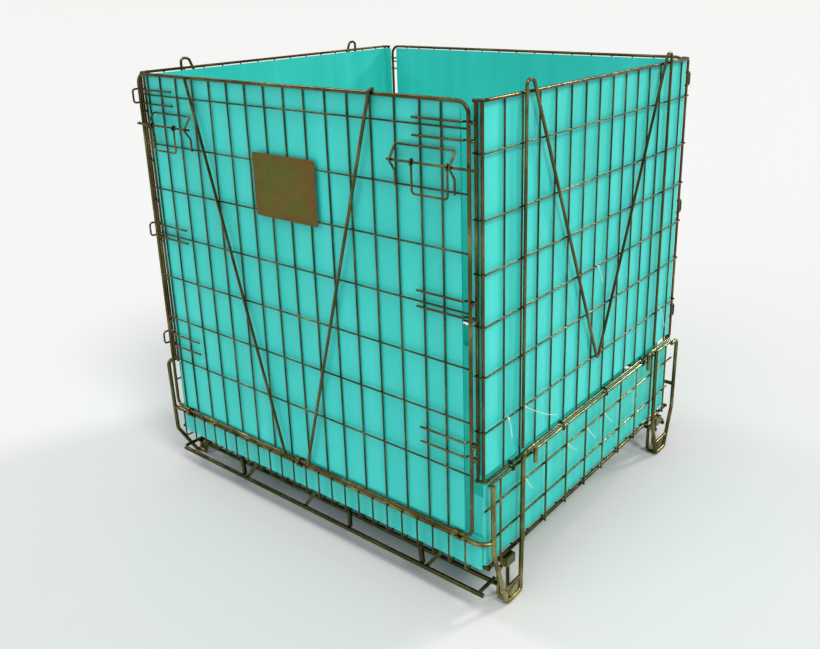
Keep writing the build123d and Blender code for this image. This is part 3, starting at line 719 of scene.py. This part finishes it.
def plate_sheet(node, body):
    """The gate's blank plate: rounded corners, edges rolled back, a shallow buckle."""
    low, high = node_box(node)
    columns, rows = PLATE_COLUMNS, PLATE_ROWS
    verts = [plate_point(low, high, i, k, face)
             for face in (0, 1) for i in range(columns + 1) for k in range(rows + 1)]
    stride = (columns + 1) * (rows + 1)
    faces = []

    def at(face, i, k):
        return face * stride + i * (rows + 1) + k

    for i in range(columns):
        for k in range(rows):
            for face in (0, 1):
                faces.append((at(face, i, k), at(face, i + 1, k), at(face, i + 1, k + 1),
                              at(face, i, k + 1)))
    for i in range(columns):
        for k in (0, rows):
            faces.append((at(0, i, k), at(0, i + 1, k), at(1, i + 1, k), at(1, i, k)))
    for k in range(rows):
        for i in (0, columns):
            faces.append((at(0, i, k), at(0, i, k + 1), at(1, i, k + 1), at(1, i, k)))
    piece = add_piece(f"{node}_blank", verts, faces, PLATE, body)
    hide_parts(node)


plate_sheet("label_plate", "gate")


# ---------------------------------------------------------------- floor, light, camera
STAGE_HALF = 400.0          # half the floor's width: its edge lies close to the horizon
STAGE_GREY = 0.655
SKY_LOW = 0.30              # strength at the horizon
SKY_RISE = 1.3              # what the zenith adds to it
SKY_FOCUS = 6.0             # how tightly that stays round the zenith
SKY_COLOUR = (0.96, 0.98, 1.0, 1)
AIM = Vector((0, 0, 0.6))   # about the middle of the container
CAMERA_PLACE = (1.5751, -1.9176, 1.4730)
CAMERA_TURN = (72.097, 1.156, 37.991)   # degrees about X, Y and Z
CAMERA_SHIFT = (-0.0335, -0.0842)
FOCAL_LENGTH = 37.45        # mm, on a sensor 36 mm wide
SENSOR_WIDTH = 36.0
FAR_CLIP = 2000

corners = [(x * STAGE_HALF, y * STAGE_HALF, 0) for x, y in CORNERS]
stage_mesh = bpy.data.meshes.new("studio_floor")
stage_mesh.from_pydata(corners, [], [(0, 1, 2, 3)])
studio_floor = bpy.data.objects.new("studio_floor", stage_mesh)
bpy.context.scene.collection.objects.link(studio_floor)
pale = Shader("studio_pale", Base_Color=(STAGE_GREY, STAGE_GREY, STAGE_GREY, 1), Roughness=1.0)
stage_mesh.materials.append(pale.material)


def sky_light():
    """An even sky that gets brighter towards the zenith."""
    world = bpy.data.worlds.new("studio_world")
    bpy.context.scene.world = world
    world.use_nodes = True
    nodes, links = world.node_tree.nodes, world.node_tree.links
    height = nodes.new("ShaderNodeSeparateXYZ")
    links.new(nodes.new("ShaderNodeTexCoord").outputs["Generated"], height.inputs["Vector"])
    value = height.outputs["Z"]
    for operation, numbers in (("MAXIMUM", (0.0,)), ("POWER", (SKY_FOCUS,)),
                               ("MULTIPLY_ADD", (SKY_RISE, SKY_LOW))):
        step = nodes.new("ShaderNodeMath")
        step.operation = operation
        for socket, number in zip(step.inputs[1:], numbers):
            socket.default_value = number
        links.new(value, step.inputs[0])
        value = step.outputs["Value"]
    background = nodes["Background"]
    background.inputs["Color"].default_value = SKY_COLOUR
    links.new(value, background.inputs["Strength"])


def soft_sun(name, place, strength, spread, colour):
    """A broad light from that direction, the same all over the floor; spread is in degrees."""
    light = bpy.data.lights.new(name, "SUN")
    light.energy = strength
    light.angle = math.radians(spread)
    light.color = colour
    lamp = bpy.data.objects.new(name, light)
    lamp.location = place
    lamp.rotation_euler = (AIM - Vector(place)).to_track_quat("-Z", "Y").to_euler()
    bpy.context.scene.collection.objects.link(lamp)


sky_light()
soft_sun("key_right", (3.0, -1.1, 4.0), 1.55, 20, (1.0, 0.985, 0.95))
soft_sun("fill_left", (-1.0, -3.6, 3.4), 0.75, 50, (0.97, 0.99, 1.0))
soft_sun("rim_right", (1.3, 3.2, 2.5), 1.30, 9, (1.0, 0.97, 0.90))
soft_sun("rim_left", (-2.5, -0.35, 3.1), 0.50, 9, (1.0, 0.98, 0.94))

lens = bpy.data.cameras.new("camera")
lens.sensor_width = SENSOR_WIDTH
lens.lens = FOCAL_LENGTH
lens.shift_x, lens.shift_y = CAMERA_SHIFT
lens.clip_end = FAR_CLIP
camera = bpy.data.objects.new("camera", lens)
camera.location = CAMERA_PLACE
camera.rotation_euler = Euler([math.radians(angle) for angle in CAMERA_TURN])
bpy.context.scene.collection.objects.link(camera)
bpy.context.scene.camera = camera
bpy.context.scene.view_settings.view_transform = "Standard"
